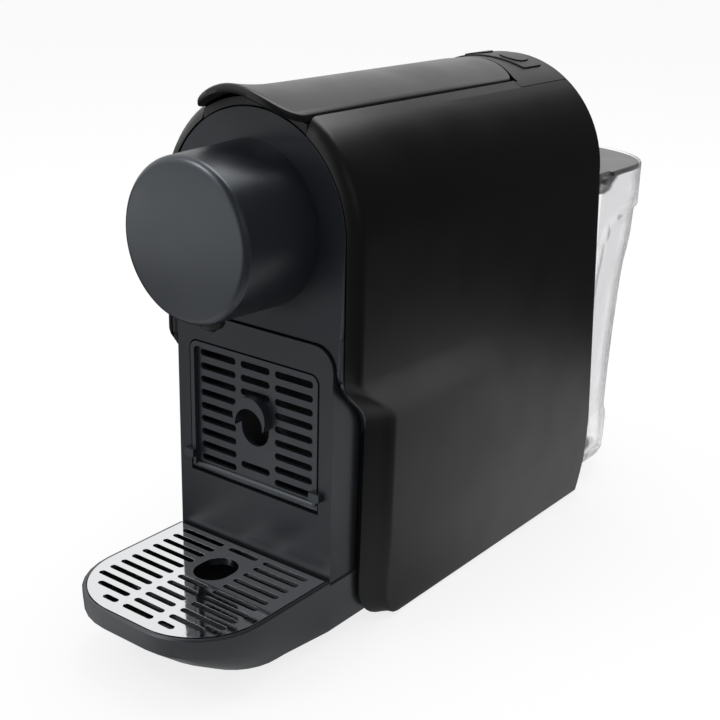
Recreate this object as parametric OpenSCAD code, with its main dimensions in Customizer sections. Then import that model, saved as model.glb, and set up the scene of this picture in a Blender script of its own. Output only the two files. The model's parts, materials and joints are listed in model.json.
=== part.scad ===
// Pod coffee machine: arched casing, round brew head, lever on top,
// sliding cup unit in front and a clear water tank behind.
// Frame: +X right, +Y to the rear, +Z up, z = 0 on the table.
// Modules work from the front panel plane (y = 0); placed() centres them.

/* [Casing] */
// Width of the casing
body_w = 118; // [110:1:140]
// Height of the arch centre above the table
arch_z = 194.5; // [185:0.5:225]
// Depth from the front panel plane to the rear edge of the arch
case_depth = 213.8; // [205:0.1:250]
// How far the rear edge leans out at the foot
rear_lean = 14.4; // [6:0.1:20]
// Wall of the casing covers
cover_wall = 2.6; // [2:0.1:3.2]
// Height of the casing's lower edge above the table
case_z0 = 2; // [1.5:0.1:4]
// Height of the crease below which the sides draw in
hip_z = 48.5; // [35:0.5:60]
// How far the sides draw in at the foot
hip_in = 3; // [1:0.1:4]
// Depth of the step in the cover's front edge
waist_in = 25.5; // [20:0.5:27]
// Height of the middle of that step
waist_z = 121; // [110:1:126]
// Seam and running clearance between covers
seam = 0.4; // [0.3:0.05:0.6]

/* [Lever] */
// Half width of the lever
lever_half = 29.7; // [26:0.1:32]
// How far the lip stands in front of the panel plane
lip_reach = 12.5; // [8:0.5:14]
// How much the lip turns up above the arch
lip_rise = 3.8; // [2:0.1:5]
// Rear end of the lever on the centre line
lever_rear = 177; // [170:1:190]
// Wall of the lever cover
lever_wall = 2.4; // [2:0.1:3]
// Lever pin behind the panel plane
pivot_y = 156; // [150:1:160]
// Lever pin above the arch centre
pivot_up = 36; // [32:0.5:38]
// Opening angle of the lever
lever_open = 70; // [55:1:75]
// Radius of the lever pin
pin_r = 3; // [2.5:0.1:4]

/* [Brew head] */
// Radius of the head at its front edge
drum_r = 36.2; // [32:0.1:42]
// Draft of the head from front to root
drum_draft = 1.5; // [0:0.1:2]
// How far the head stands out in front of the bezel
drum_reach = 44.4; // [40:0.1:55]
// Radius of the head's front edge
drum_round = 3.4; // [2:0.1:5]
// Wall of the head
drum_wall = 2.6; // [2:0.1:3.5]
// Height of the head's axis above the arch centre
drum_up = 0.5; // [0:0.1:2]
// Distance of the spout in front of the panel plane
spout_y = 25.7; // [22:0.1:28]
// Radius of the spout
spout_r = 5.8; // [5:0.1:7]
// Length of the spout below the head
spout_drop = 6.6; // [5:0.1:12]

/* [Capsule chamber] */
// Radius of the capsule's body
capsule_r = 15; // [14:0.1:16]
// Radius of the capsule's flange
capsule_flange_r = 18.5; // [18:0.1:19]
// Length of the capsule
capsule_l = 28; // [26:0.5:30]
// Travel of the capsule cage
cage_travel = 32; // [30:0.5:34]
// Wall of the capsule cage
cage_wall = 3; // [2.5:0.1:3.5]

/* [Cup unit] */
// Half width of the front panel
panel_half = 47.6; // [44:0.1:50]
// Top of the front panel above the table
panel_top = 147; // [140:0.5:152]
// Radius of the panel's upper corners
panel_round = 11; // [6:0.5:14]
// Wall of the cup unit's mouldings
unit_wall = 2.6; // [2:0.1:3.2]
// Top of the drip grate above the table
grate_z = 34.5; // [30:0.5:40]
// Front of the drip tray ahead of the panel plane
tray_reach = 84.5; // [75:0.5:100]
// Radius of the tray's front corners
tray_round = 35.3; // [28:0.1:40]
// Underside of the tray above the table
tray_z0 = 7; // [6:0.5:9]
// Thickness of the drip grate
grate_t = 1.6; // [1.2:0.1:2.2]
// Spacing of the grate's slot rows
grate_pitch = 6.81; // [6:0.01:8]
// Width of the grate's slots
grate_slot = 3.2; // [2.4:0.1:4]
// Half width of the cup rest's opening
rest_half = 40; // [34:0.5:42]
// Lower edge of the cup rest's opening above the table
rest_z0 = 65.4; // [60:0.1:75]
// Upper edge of the cup rest's opening above the table
rest_z1 = 133.6; // [128:0.1:138]
// Spacing of the cup rest's slot rows
rest_pitch = 6.75; // [6:0.05:7.5]
// Height of the cup rest's slots
rest_slot = 3.4; // [2.5:0.1:4]
// How deep the capsule bin reaches behind the panel plane
bin_depth = 112; // [95:1:116]

/* [Water tank] */
// Half width of the tank at its rim
tank_half = 57; // [50:0.5:60]
// Top of the tank above the table
tank_top = 192; // [170:1:215]
// Front wall of the tank behind the arch's rear edge
tank_gap = 6.2; // [5:0.1:10]
// Depth of the tank on the centre line
tank_depth = 83; // [70:1:100]
// Wall of the tank
tank_wall = 2.2; // [1.8:0.1:3]
// Underside of the tank above the table
tank_z0 = 11.6; // [10:0.1:14]
// How deep the finger grip is set in
grip_in = 4.5; // [3:0.1:6]

/* [Hidden] */
$fn = 72;

fit = 0.05;              // radial play of a pin in its bore
rub = 0.3;               // gap between pieces that pass each other
body_r = body_w / 2;
axis_z = arch_z + drum_up;
tank_front = case_depth + tank_gap;
tank_rear = tank_front + tank_depth;
mid_y = (tank_rear - tray_reach) / 2;
plate_t = 2.5;           // front bezel thickness
bezel_y = 1.3;           // bezel face behind the panel plane
bezel_r = body_r - 6.6;
seam_half = lever_half + seam;
lever_r = body_r + 0.5;  // crown radius of the lever
deck_r = body_r - cover_wall - rub;
pivot_z = arch_z + pivot_up;

// ---- helpers -------------------------------------------------------------

// Moves a sub-part from the panel-plane frame to the model's own frame
module placed() translate([0, -mid_y, 0]) children();

// Extrudes an outline drawn in X and Z from y0 to y1
module from_to(y0, y1) translate([0, y1, 0]) rotate([90, 0, 0]) linear_extrude(y1 - y0) children();

// Extrudes an outline drawn in Y and Z from x0 to x1
module side_plate(x0, x1) translate([x0, 0, 0]) rotate([90, 0, 90]) linear_extrude(x1 - x0) children();

module rod_x(r, x0, x1) translate([x0, 0, 0]) rotate([0, 90, 0]) cylinder(r = r, h = x1 - x0);
module rod_y(r, y0, y1) translate([0, y1, 0]) rotate([90, 0, 0]) cylinder(r = r, h = y1 - y0);
module rod_z(r, z0, z1) translate([0, 0, z0]) cylinder(r = r, h = z1 - z0);

// A box from one corner to the other
module block(a, b) translate(a) cube(b - a);

module slot_2d(l, h) {
    square([l - h, h], center = true);
    for (s = [-1, 1]) translate([s * (l - h) / 2, 0]) circle(h / 2);
}

// A rectangle from a to b with corners rounded by r
module soft_rect(a, b, r) {
    translate(a + [r, 0]) square([b.x - a.x - 2 * r, b.y - a.y]);
    translate(a + [0, r]) square([b.x - a.x, b.y - a.y - 2 * r]);
    for (x = [a.x + r, b.x - r], y = [a.y + r, b.y - r]) translate([x, y]) circle(r);
}

// Both sides of the machine
module both_sides() {
    children();
    mirror([1, 0, 0]) children();
}

function lerp(a, b, t) = a + (b - a) * t;
function clamp01(t) = min(1, max(0, t));
function ease(t) = let (s = clamp01(t)) s * s * (3 - 2 * s);

// Side faces between rings of n points each
function skin(n, from, to) = [for (i = [0:n - 1]) each
    let (j = (i + 1) % n, a = from * n + i, b = from * n + j, c = to * n + i, d = to * n + j)
    [[a, c, d], [a, d, b]]];

// End face of a ring, made of rungs between its two halves
function end_face(n, k) = [for (i = [0:ceil(n / 2) - 2]) each
    let (a = k * n + i, b = k * n + n - 1 - i)
    a + 1 < b - 1 ? [[a, a + 1, b - 1], [a, b - 1, b]] : [[a, b - 1, b]]];
function turned(faces) = [for (f = faces) [f[2], f[1], f[0]]];

// A skin over rings of equal length, closed at its first and last ring
module loft(rings) {
    n = len(rings[0]);
    m = len(rings);
    polyhedron(
        points = [for (r = rings) each r],
        faces = concat(end_face(n, 0), turned(end_face(n, m - 1)),
                       [for (k = [0:m - 2]) each skin(n, k, k + 1)]),
        convexity = 8);
}

// A skin over rings whose last joins the first, round a hole
module loft_round(rings) {
    n = len(rings[0]);
    m = len(rings);
    polyhedron(
        points = [for (r = rings) each r],
        faces = [for (k = [0:m - 1]) each skin(n, k, (k + 1) % m)],
        convexity = 8);
}

// ---- side covers -----------------------------------------------------------

waist_soft = 12.5;       // half height of the step's S-curve
foot_rise = 22;          // height of the rounded lower front corner
foot_back = 27;          // how far the lip runs back there
front_edge_y = 7.5;      // where the flat side starts, above the step

// How far the front edge is set back at height z
function edge_set(z) =
    waist_in * ease((waist_z + waist_soft - z) / (2 * waist_soft))
    * (1 + 0.04 * clamp01((z - hip_z) / (waist_z - hip_z)));

// Rounding of the foot at height z for a point d below the surface
function foot_set(d, z) = let (t = clamp01((case_z0 + foot_rise - z) / foot_rise))
    foot_back * (1 - sqrt(max(0, 1 - t * t))) * (0.4 + 0.6 * d / 10.4);

// How far the rear edge leans out at height z
function rear_edge(z) =
    case_depth + rear_lean * clamp01((arch_z + 5 - z) / (arch_z - 25))
    - 5 * pow(clamp01((30 - z) / 28), 2);

function hip(z) = hip_in * clamp01((hip_z - z) / (hip_z - case_z0));

// Outer and inner points of the front band as [depth, y, depth, y], above and below the step
band_high = [[0, 0, 2.6, 3], [0.5, -2.1, 2.9, 1], [1.8, -3.9, 3.6, -0.8],
             [3.8, -5.3, 4.6, -2.2], [5.6, -6.1, 5.8, -3.2], [6.2, -6.3, 6.3, -3.7]];
band_low = [[0, 0, 2.6, 3], [0.5, -1.9, 3.1, 0.6], [2.2, -4, 4.5, -2.5],
            [4.6, -8.2, 6.9, -6.9], [7, -12.6, 9.2, -11.6], [8.2, -14.6, 10.4, -14.3]];

// Section of a cover at height z, ending at y = yr: [depth below the surface, y]
function cover_section(z, yr) =
    let (low = ease((waist_z + waist_soft - z) / (2 * waist_soft)),
         y0 = front_edge_y + edge_set(z),
         band = [for (i = [0:5]) lerp(band_high[i], band_low[i], low)])
    concat(
        [[0, yr], [0, lerp(yr, y0, 0.5)]],
        [for (p = band) [p[0], y0 + p[1] + foot_set(p[0], z)]],
        [for (i = [5:-1:0]) let (d = band[i][2] + cover_wall - 2.6)
            [d, y0 + band[i][3] + foot_set(d, z)]],
        [[cover_wall, lerp(yr, y0, 0.5)], [cover_wall, yr]]);

wall_z = concat(
    [for (k = [0, 0.02, 0.08, 0.18, 0.32, 0.5, 0.72, 1]) case_z0 + foot_rise * k], [34],
    [hip_z],
    [for (z = [hip_z + 18:18:waist_z - waist_soft - 4]) z],
    [for (k = [0:10]) waist_z + waist_soft * (k / 5 - 1)],
    [waist_z + waist_soft + 12, arch_z - 30, arch_z - 12]);
panel_seam = 34.6;       // half width of the control panel's seam
panel_front = 166.4;     // where that seam starts
panel_angle = acos(panel_seam / body_r);

// Depth below the surface, squeezed where the hip leaves less room beside the tray
function depth_at(d, z) = let (room = body_r - hip(z) - cover_wall - tray_half - 0.7)
    d < cover_wall ? d : cover_wall + (d - cover_wall) * min(1, room / (band_low[5][2] - cover_wall));
function wall_ring(z) =
    [for (p = cover_section(z, rear_edge(z))) [body_r - hip(z) - depth_at(p[0], z), p[1], z]];
function arch_ring(a) =
    [for (p = cover_section(arch_z, case_depth))
        [(body_r - p[0]) * cos(a), p[1], arch_z + (body_r - p[0]) * sin(a)]];
// An upright end face at x, for the seams beside the lever and the control panel
function seam_ring(x, yr) =
    [for (p = cover_section(arch_z, yr))
        [x, p[1], arch_z + sqrt(pow(body_r - p[0], 2) - pow(x, 2))]];

module cover_shape() loft(concat(
    [for (z = wall_z) wall_ring(z)],
    [for (k = [0:12]) arch_ring(panel_angle * k / 13)],
    [seam_ring(panel_seam, case_depth), seam_ring(panel_seam - 0.2, panel_front),
     seam_ring(seam_half, panel_front)]));

module side_cover_right() placed() color("#1b1b1c") cover_shape();
module side_cover_left() placed() color("#1b1b1c") mirror([1, 0, 0]) cover_shape();

// ---- front bezel, deck, rear cover, control panel ---------------------------

bezel_z0 = 124;          // tips of the bezel beside the cup unit
unit_gap = 0.6;          // gap round the cup unit's front

module bezel_outline(r, z0) {
    translate([0, arch_z]) circle(r);
    translate([-r, z0]) square([2 * r, arch_z - z0]);
}

module front_bezel() placed() color("#202226") {
    from_to(bezel_y, bezel_y + plate_t) difference() {
        bezel_outline(bezel_r - seam, bezel_z0);
        translate([0, axis_z]) circle(drum_r + drum_draft - drum_wall - rub);
        soft_rect([-panel_half - unit_gap, bezel_z0 - 30], [panel_half + unit_gap, panel_top + unit_gap],
                  panel_round);
        both_sides() polygon([[panel_half, bezel_z0 - 5], [panel_half + 2.6, bezel_z0 - 5],
                              [panel_half + 2.2, bezel_z0 + 8], [panel_half + 0.5, panel_top - panel_round]]);
    }
    // spigot that centres the head
    translate([0, 0, axis_z]) difference() {
        rod_y(drum_r + drum_draft - drum_wall - rub, bezel_y - 5, bezel_y + plate_t);
        rod_y(drum_r + drum_draft - drum_wall - rub - 2.4, bezel_y - 6, bezel_y + plate_t + 1);
    }
    // lugs that hook behind the side covers
    both_sides() for (z = [150, 185]) block([bezel_r - 4, bezel_y + plate_t, z],
                                            [bezel_r - 1.4, bezel_y + plate_t + 9, z + 8]);
}

slot_y0 = 10.4;          // front of the capsule slot in the deck
slot_step = 5;           // depth of its wide part, for the flange
arm_x = [16.6, 19.6];    // inner and outer face of a lever arm
arm_slot = [92, pivot_y + 6.1];           // where the arms pass the deck

module deck_shell(y0, y1, r, half) from_to(y0, y1) intersection() {
    difference() {
        translate([0, arch_z]) circle(deck_r);
        translate([0, arch_z]) circle(r);
    }
    translate([-half, arch_z]) square([2 * half, body_r]);
}

module top_deck() placed() color("#1d1e20") {
    difference() {
        union() {
            deck_shell(1.8, front_edge_y + 5, deck_r - 2.4, lever_half);
            deck_shell(front_edge_y + 4, case_depth - 34.4, deck_r - 2.4, seam_half + 4);
        }
        capsule_way(arch_z + 20, arch_z + body_r);
        both_sides() block([lug_x[0] - 1, arm_slot[0], arch_z + 30],
                           [arm_x[1] + 2, arm_slot[1], arch_z + body_r]);
        // clearance for the rear of the lever as it swings down
        block([-30, pivot_y + 6, arch_z + 20], [30, case_depth, arch_z + body_r]);
    }
    // front rim
    deck_shell(1.8, 5, bezel_r + 0.2, lever_half);
    // chute walls below the capsule slot
    difference() {
        intersection() {
            block([-capsule_flange_r - 3, slot_y0 - 2, arch_z + 30],
                  [capsule_flange_r + 3, slot_y0 + slot_step + capsule_l + 3, arch_z + body_r]);
            translate([0, 0, arch_z]) rod_y(deck_r - 1, 0, case_depth);
        }
        capsule_way(arch_z + 20, arch_z + body_r);
    }
}

// The way a capsule falls: wide for the flange, then narrower for the body
module capsule_way(z0, z1) {
    block([-capsule_flange_r - 1, slot_y0, z0], [capsule_flange_r + 1, slot_y0 + slot_step, z1]);
    block([-capsule_r - 1, slot_y0 + slot_step - 0.01, z0],
          [capsule_r + 1, slot_y0 + slot_step + capsule_l, z1]);
}

rear_plate = [case_depth - 3.2, case_depth - 0.6];
rear_screw_at = [for (x = [-44, 44], z = [30, 150]) [x, z]];

module rear_cover() placed() color("#1d1d1e") difference() {
    union() {
        from_to(rear_plate[0], rear_plate[1]) {
            translate([0, arch_z]) circle(deck_r);
            translate([-deck_r + hip_in, case_z0 + 4]) square([2 * (deck_r - hip_in), hip_z]);
            translate([-deck_r, hip_z]) square([2 * deck_r, arch_z - hip_z]);
        }
        for (p = rear_screw_at) translate([p.x, 0, p.y]) rod_y(4, rear_plate[0] - 6, rear_plate[1]);
    }
    for (p = rear_screw_at) translate([p.x, 0, p.y]) {
        rod_y(1.7, rear_plate[0] - 7, rear_plate[1] + 1);
        rod_y(3.4, rear_plate[1] - 1.4, rear_plate[1] + 1);
    }
    // openings for the mains inlet and the air vents
    translate([38, 0, gland_z]) rod_y(gland_r + fit, rear_plate[0] - 1, rear_plate[1] + 1);
    translate([0, 0, hose_z]) rod_y(hose_r + rub, rear_plate[0] - 1, rear_plate[1] + 1);
    for (k = [0:6]) translate([0, 0, arch_z + 4 + 5 * k])
        from_to(rear_plate[0] - 1, rear_plate[1] + 1) slot_2d(44, 2.2);
}

gland_z = 17;
gland_r = 5.5;

module cable_gland() placed() color("#151515") translate([38, 0, gland_z]) difference() {
    union() {
        rod_y(gland_r, rear_plate[0] - 2, rear_plate[1] + 0.4);
        rod_y(gland_r + 1.6, rear_plate[0] - 4, rear_plate[0]);
        rod_y(gland_r + 1, rear_plate[1], rear_plate[1] + 1.8);
    }
    rod_y(3.2, rear_plate[0] - 5, rear_plate[1] + 3);
}

module rear_screws() placed() color("#8a8c90") for (p = rear_screw_at) translate([p.x, 0, p.y]) {
    rod_y(3, rear_plate[1] - 1.4, rear_plate[1] - 0.2);
    rod_y(1.5, rear_plate[0] - 13, rear_plate[1] - 1.4);
}

rear_arc_r = 42.3;       // radius of the lever's rear end in plan

module control_panel() placed() color("#222222") difference() {
    from_to(panel_front + seam, case_depth) intersection() {
        difference() {
            translate([0, arch_z]) circle(body_r);
            translate([0, arch_z]) circle(body_r - 2.4);
        }
        translate([-panel_seam + seam, arch_z]) square([2 * (panel_seam - seam), body_r + 1]);
    }
    linear_extrude(arch_z + 70) surround_outline(0);
    // undercut that the lever's rear end swings past, barrel-shaped like that end
    translate([0, pivot_y, pivot_z]) rotate([0, 90, 0]) rotate_extrude($fn = 120) polygon(concat(
        [[0, -lever_half - 1]], [for (x = sweep_at) [tail_sweep(x), x]], [[0, lever_half + 1]]));
}

sweep_at = [for (k = [-1, -0.94, -0.86, -0.7, -0.5, -0.25, 0.25, 0.5, 0.7, 0.86, 0.94, 1]) k * (lever_half + 1)];

// Radius that the lever's rear end sweeps round its pin at x, with clearance
function tail_sweep(x) = let (u = min(abs(x), lever_half), h = lever_z(u, tail_y(u)) - pivot_z)
    norm([max(tail_y(u) - pivot_y, h * tan(lever_open / 2) + 0.3), h]) + 1.6 * rub;
button_x = 11;           // buttons left and right of the centre line
button_y = case_depth - 17.1;
button_travel = 1.2;

// Outline of the raised field round the buttons, grown by d
module surround_outline(d) intersection() {
    soft_rect([-23.5 - d, surround_y[0] - d], [23.5 + d, surround_y[1] + d], 5);
    translate([0, surround_y[0] + 97]) circle(97 + d, $fn = 180);
}
surround_y = [case_depth - 29.4, case_depth - 5.6];

module button_outline(r) {
    for (s = [-1, 1]) translate([button_x, button_y + 1.2 * s]) circle(r);
    translate([button_x - r, button_y - 1.2]) square([2 * r, 2.4]);
}

module button_surround() placed() color("#262626") difference() {
    intersection() {
        translate([0, 0, arch_z + 40]) linear_extrude(30) surround_outline(-0.2);
        from_to(case_depth - 40, case_depth) difference() {
            translate([0, arch_z]) circle(body_r + 0.8);
            translate([0, arch_z]) circle(body_r - 2.4);
        }
    }
    both_sides() translate([0, 0, arch_z + 30]) linear_extrude(40) button_outline(7.2);
}

module button_shape() {
    intersection() {
        translate([0, 0, arch_z + 40]) linear_extrude(30) button_outline(6.9);
        from_to(case_depth - 40, case_depth) difference() {
            translate([0, arch_z]) circle(body_r + 1.5);
            translate([0, arch_z]) circle(body_r - 4);
        }
    }
    // plunger that presses the switch
    translate([button_x, button_y, 0]) rod_z(2, board_z + 5.4, arch_z + 54);
}

module espresso_button() placed() color("#2a2a2a") button_shape();
module lungo_button() placed() color("#2a2a2a") mirror([1, 0, 0]) button_shape();

board_z = arch_z + 42;
board_y = [190, 208.5];

module button_springs() placed() color("silver") both_sides()
    translate([button_x, button_y, 0]) for (k = [0:3])
        translate([0, 0, board_z + 2.2 + 1.6 * k]) rotate_extrude() translate([3.4, 0]) circle(0.4);

module control_board() placed() color("#1f5a35") {
    difference() {
        block([-24, board_y[0], board_z], [24, board_y[1], board_z + 1.6]);
        for (x = [-21, 21], y = [193, 205.5]) translate([x, y, 0]) rod_z(1.6, board_z - 1, board_z + 3);
    }
    both_sides() translate([button_x, button_y, 0]) rod_z(2.2, board_z + 1.6, board_z + 4);
    block([-6, 199, board_z + 1.6], [6, 206, board_z + 4]);
}

// ---- base and chassis --------------------------------------------------------

base_half = body_r - hip_in - cover_wall - 0.6;
dock = [40, 281, tank_z0 - rub];          // half width, rear end and top of the tank's dock
feet_at = [for (x = [-38, 38], y = [48, 196]) [x, y]];
base_screw_at = [for (x = [-44, 44], y = [bin_depth + 12, 178]) [x, y]];
valve_y = 248;
plate_front = 53;        // front of the base plate beside the cup unit

module base_plate() placed() color("#161616") difference() {
    union() {
        translate([0, 0, case_z0]) linear_extrude(3) {
            translate([-base_half, plate_front]) square([2 * base_half, case_depth - 4 - plate_front]);
            translate([-46, 42]) square([92, plate_front - 41]);
            translate([-dock[0], 42]) square([2 * dock[0], dock[1] - 72]);
            soft_rect([-dock[0], case_depth - 4], [dock[0], dock[1]], 16);
        }
        // dock under the tank
        translate([0, 0, case_z0 + 2]) linear_extrude(dock[2] - case_z0 - 2)
            difference() {
                soft_rect([-dock[0], case_depth], [dock[0], dock[1]], 16);
                soft_rect([-dock[0] + 3, case_depth + 3], [dock[0] - 3, dock[1] - 3], 13);
            }
        translate([0, valve_y, 0]) rod_z(12, case_z0, dock[2]);
        // guide rails of the cup unit
        both_sides() {
            block([tray_half + rub, plate_front, case_z0], [tray_half + rub + 1.8, wall_y[0], case_z0 + 13]);
            block([34, 42, case_z0 + 2], [38, tray_back, tray_z0 - rub]);
        }
    }
    translate([0, valve_y, 0]) rod_z(nozzle_r + fit, case_z0 - 1, dock[2] + 1);
    for (p = base_screw_at) translate(p) rod_z(2.4, case_z0 - 1, case_z0 + 4);
    for (p = feet_at) translate(p) rod_z(6 + fit, case_z0 - 1, case_z0 + 1.2);
    // passage of the suction hose
    block([-hose_r - rub, case_depth - 8, case_z0 + 3], [hose_r + rub, valve_y - 12.1, tank_z0]);
    translate([0, 0, hose_z]) rod_y(1.4, valve_y - 13, valve_y);
}

module rubber_feet() placed() color("#0e0e0e") for (p = feet_at) translate(p) {
    cylinder(r1 = 6.4, r2 = 7, h = case_z0);
    rod_z(6, case_z0, case_z0 + 1.1);
}

module base_screws() placed() color("#8a8c90") for (p = base_screw_at) translate(p) {
    rod_z(2.9, case_z0 - 1.2, case_z0);
    rod_z(1.5, case_z0, case_z0 + 12);
}

wall_y = [bin_depth + 4, bin_depth + 7];  // bulkhead behind the capsule bin
shelf_z = axis_z - 28.5;
column_y = [case_depth - 17, case_depth - 9.3];
frame_x = [22.6, 25.4];                   // faces of a brew frame side plate
frame_z0 = shelf_z + 3;

module inner_chassis() placed() color("#2b2b2b") difference() {
    union() {
        from_to(wall_y[0], wall_y[1]) {
            translate([-50, case_z0 + 3]) square([100, shelf_z - case_z0 - 3]);
            translate([-44, shelf_z - 1]) square([88, 4]);
        }
        // shelf that carries the brew frame
        block([-50, 62, shelf_z], [50, wall_y[1], shelf_z + 3]);
        both_sides() {
            side_plate(47, 50) polygon([[62, shelf_z + 0.1], [wall_y[0] + 0.1, shelf_z + 0.1],
                                        [wall_y[0] + 0.1, shelf_z - 46]]);
            // ribs under the shelf and a foot rail
            block([30, wall_y[1] - 0.1, case_z0 + 3], [33, wall_y[1] + 5, case_z0 + 24]);
        }
        block([-50, wall_y[1] - 0.1, case_z0 + 3], [50, case_depth - 6, case_z0 + 5]);
        for (p = base_screw_at) translate(p) rod_z(3.6, case_z0 + 3, case_z0 + 16);
        both_sides() {
            // back posts up to the control board
            block([18.6, board_y[1] - 5, case_z0 + 4], [23.4, board_y[1] - 1, board_z]);
            // columns behind the rear cover's screws
            block([40.5, column_y[0], case_z0 + 4], [47.5, column_y[1], rear_screw_at[1].y + 5]);
        }
    }
    for (p = base_screw_at) translate(p) rod_z(1.5 + fit, case_z0 + 2, case_z0 + 14);
    // hose and wire ways
    for (x = [-40, 0, 36]) translate([x, 0, 30]) rod_y(4.6, wall_y[0] - 1, wall_y[1] + 1);
    for (p = rear_screw_at) translate([p.x, 0, p.y]) rod_y(1.5 + fit, column_y[1] - 9, column_y[1] + 1);
}

// ---- brew head -----------------------------------------------------------------

drum_front = bezel_y - drum_reach;
drum_root_r = drum_r + drum_draft;

module drum_profile(r0, r1, depth, round) {
    // r0 at the front, r1 at the root; x = radius, y = distance from the root
    polygon(concat([[0, 0], [r1, 0]],
        [for (k = [0:6]) let (a = 90 * k / 6)
            [r0 - round * (1 - cos(a)), depth - round * (1 - sin(a))]],
        [[0, depth + 0.5]]));
}

module head_drum() placed() color("#25282d") translate([0, bezel_y, axis_z]) difference() {
    rotate([90, 0, 0]) rotate_extrude()
        drum_profile(drum_r, drum_root_r, drum_reach - 0.5, drum_round);
    translate([0, 0.1, 0]) rotate([90, 0, 0]) rotate_extrude()
        drum_profile(drum_r - drum_wall, drum_root_r - drum_wall, drum_reach - drum_wall - 0.8, 2);
    translate([0, -spout_y - bezel_y, 0]) rod_z(spout_r + rub, -drum_r - 8, -drum_r + 8);
}

spout_top = axis_z - drum_r + drum_wall + 1;
spout_low = axis_z - drum_r - 0.6 - spout_drop;

module coffee_spout() placed() color("#1c1d1f") translate([0, -spout_y, 0]) rotate_extrude()
    polygon([[2.6, spout_top + 1.6], [8, spout_top + 1.6], [8, spout_top], [spout_r, spout_top],
             [spout_r, spout_low + 3.6], [5, spout_low + 2.2], [3.4, spout_low + 1.3],
             [2, spout_low + 0.9], [1.6, spout_low], [1, spout_low], [1, spout_low + 2],
             [2.6, spout_low + 4]]);

duct_z = axis_z - 9;

module outlet_duct() placed() color("#b9b9b4") difference() {
    union() {
        translate([0, 0, axis_z]) rod_y(14, 2, 4.1);
        translate([0, 0, duct_z]) rod_y(5.2, -spout_y, 2.1);
        translate([0, -spout_y, duct_z]) sphere(5.2);
        translate([0, -spout_y, 0]) rod_z(5.2, spout_top + 1.8, duct_z);
    }
    translate([0, 0, duct_z]) rod_y(3.2, -spout_y, 5);
    translate([0, -spout_y, 0]) rod_z(3.2, spout_top + 1, duct_z);
}

frame_y0 = 4.2;          // front face of the brew frame
extract_y = [8, 11];
cage_y = 11.6;           // front of the cage when closed
cage_r = capsule_r + 0.5 + cage_wall;
cage_back = cage_y + capsule_l + 4;
follower_y = 108;
follower_z = axis_z + 10.6;
follower_r = 2;
ear = [20, 40, 2.4];     // guide ear: rear start, rear end, half height
sleeve_y = [92, 136];
stem_end = sleeve_y[0] + 6;
frame_top = axis_z + 22;

module brew_frame() placed() color("#3a3b3d") difference() {
    union() {
        both_sides() side_plate(frame_x[0], frame_x[1]) difference() {
            polygon([[frame_y0, axis_z - 20], [frame_y0, frame_top], [60, frame_top],
                     [112, axis_z + 40], [pivot_y - 8, pivot_z + 8], [pivot_y + 5, pivot_z + 8],
                     [pivot_y + 9, pivot_z], [pivot_y + 9, pivot_z - 20], [140, frame_z0],
                     [62, frame_z0], [54, axis_z - 20]]);
            soft_rect([ear[0] - 2, axis_z - ear[2] - rub], [ear[1] + cage_travel + 2, axis_z + ear[2] + rub], 1);
        }
        from_to(frame_y0, extract_y[0]) translate([-frame_x[1], axis_z - 20])
            square([2 * frame_x[1], frame_top - axis_z + 20]);
        // cross piece and column under the inlet sleeve
        block([-frame_x[0] - 0.1, 118, frame_z0], [frame_x[0] + 0.1, 130, frame_z0 + 9]);
        block([-6, 118, frame_z0 + 8.9], [6, 130, axis_z]);
        translate([0, 0, axis_z]) rod_y(6.5, sleeve_y[0], sleeve_y[1]);
    }
    translate([0, 0, axis_z]) rod_y(12, frame_y0 - 1, extract_y[0] + 1);
    translate([0, 0, axis_z]) rod_y(4 + fit, sleeve_y[0] - 1, sleeve_y[1] - 4);
    translate([0, 0, axis_z]) rod_y(1.6, sleeve_y[1] - 5, sleeve_y[1] + 1);
    translate([0, pivot_y, pivot_z]) rod_x(pin_r + fit, -frame_x[1] - 1, frame_x[1] + 1);
}

module extraction_plate() placed() color("#a9abad") translate([0, 0, axis_z]) difference() {
    rod_y(19, extract_y[0], extract_y[1]);
    for (r = [4, 8, 12], k = [0:r * 1.5 - 1]) rotate([0, k * 360 / (r * 1.5), 0])
        translate([r, 0, 0]) rod_y(0.9, extract_y[0] - 1, extract_y[1] + 1);
}

module capsule_cage() placed() color("#c3c1b8") difference() {
    union() {
        translate([0, 0, axis_z]) {
            rod_y(cage_r, cage_y, cage_back);
            rod_y(cage_r + 1.4, cage_y + 3, cage_y + 6);
            rod_y(4, cage_back - 0.1, stem_end);
        }
        // ears that run in the frame's guides
        both_sides() block([cage_r - 1, ear[0], axis_z - ear[2]],
                           [frame_x[1] - 1, ear[1], axis_z + ear[2]]);
        // tongue to the follower pin
        block([-9, cage_back - 2, follower_z - 3.4], [9, follower_y + 4.4, follower_z + 3.4]);
    }
    translate([0, 0, axis_z]) {
        rod_y(cage_r - cage_wall, cage_y - 1, cage_back - 4);
        rod_y(1.5, cage_y, stem_end + 1);
        rotate([90, 0, 0]) translate([0, 0, -cage_y - 0.7]) rotate_extrude()
            translate([cage_r - cage_wall / 2, 0]) circle(0.95);
    }
    translate([0, follower_y, follower_z]) rod_x(follower_r + fit, -10, 10);
}

module cage_seal() placed() color("#a8452c") translate([0, 0, axis_z]) rotate([90, 0, 0])
    translate([0, 0, -cage_y - 0.7]) rotate_extrude() translate([cage_r - cage_wall / 2, 0]) circle(0.85);

module needle_plate() placed() color("silver") translate([0, 0, axis_z]) difference() {
    union() {
        rod_y(12.5, cage_back - 6, cage_back - 4);
        for (k = [0:2]) rotate([0, 120 * k, 0]) translate([0, cage_back - 5.9, 7])
            rotate([90, 0, 0]) cylinder(r1 = 1.4, r2 = 0.35, h = 6);
    }
    rod_y(1.5, cage_back - 7, cage_back - 3);
}

module follower_pin() placed() color("silver") translate([0, follower_y, follower_z])
    rod_x(follower_r, -21.6, 21.6);

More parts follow.
